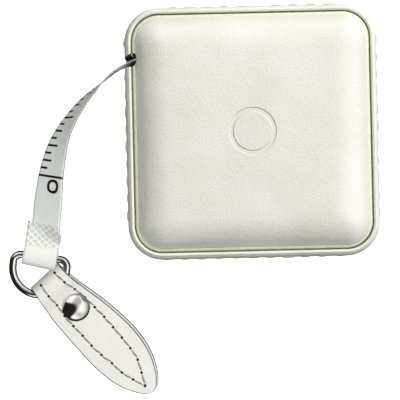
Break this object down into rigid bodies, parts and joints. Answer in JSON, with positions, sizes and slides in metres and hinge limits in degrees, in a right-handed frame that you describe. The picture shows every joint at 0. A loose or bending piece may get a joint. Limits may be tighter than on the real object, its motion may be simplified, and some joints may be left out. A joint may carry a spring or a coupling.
{
  "type": "cloth tape measure",
  "caption": "Retractable cloth tape measure in a square padded leather case, with a centre button, a printed tape, a D-ring and a stitched leather pull tab.",
  "frame": {"origin": "middle of the case's underside, where the rear pad rests", "axes": "+Z out of the padded front, +Y towards the case's top edge, the tape leaves through the -X side"},
  "size_m": [0.0764, 0.0793, 0.0175],
  "materials": {
    "leather": "white grained leather, satin",
    "black_plastic": "black, satin",
    "steel": "bare spring and screw steel",
    "nickel": "polished nickel plate",
    "cloth": "coated glass cloth tape, satin, black print",
    "foam": "soft open-cell foam",
    "card": "stiff grey-brown pressed card",
    "rubber": "matt black rubber"
  },
  "bodies": {
    "case": {"side_leather": "leather", "front_rim": "leather", "rear_rim": "leather", "case_screw_1": "steel", "case_screw_2": "steel", "case_screw_3": "steel", "case_screw_4": "steel", "front_shell": "black_plastic", "rear_shell": "black_plastic", "tape_mouth": "black_plastic", "front_leather": "leather", "front_foam": "foam", "front_card": "card", "rear_leather": "leather", "rear_foam": "foam", "rear_card": "card", "axle_post": "steel", "power_spring": "steel", "tape_feed": "cloth", "return_spring": "steel"},
    "reel": {"reel_drum": "black_plastic", "spring_lid": "black_plastic", "brake_track": "steel", "wound_tape": "cloth"},
    "button": {"brake_button": "black_plastic", "brake_pad": "rubber", "button_cap": "black_plastic"},
    "tape": {"free_tape": "cloth", "tape_hem": "cloth"},
    "ring": {"d_ring": "nickel"},
    "tab": {"pull_tab": "leather", "rivet_cap": "nickel", "rivet_base": "nickel"}
  },
  "joints": [
    {"name": "button_press", "type": "slide", "parent": "case", "child": "button", "axis": [0, 0, -1], "range_m": [0, 0.001], "stiffness_N_per_m": 350, "deforming": ["return_spring"]},
    {"name": "tape_pull", "type": "slide", "parent": "case", "child": "tape", "axis": [-0.891, -0.454, 0], "range_m": [0, 1.4], "deforming": ["tape_feed"]},
    {"name": "reel_turn", "type": "hinge", "parent": "case", "child": "reel", "pos_m": [0, 0, 0.009], "axis": [0, 0, 1], "range_deg": [0, 6440], "deforming": ["power_spring"]},
    {"name": "ring_flip", "type": "hinge", "parent": "tape", "child": "ring", "pos_m": [-0.04414, -0.02465, 0.0019], "axis": [-0.9881, 0.1536, 0], "range_deg": [0, 103]},
    {"name": "tab_swivel", "type": "hinge", "parent": "ring", "child": "tab", "pos_m": [-0.04449, -0.02688, 0.0019], "axis": [0, 0, 1], "range_deg": [-84, 0]}
  ],
  "couplings": [
    {"joint": "reel_turn", "follows": "tape_pull", "rad_per_m": 80}
  ]
}
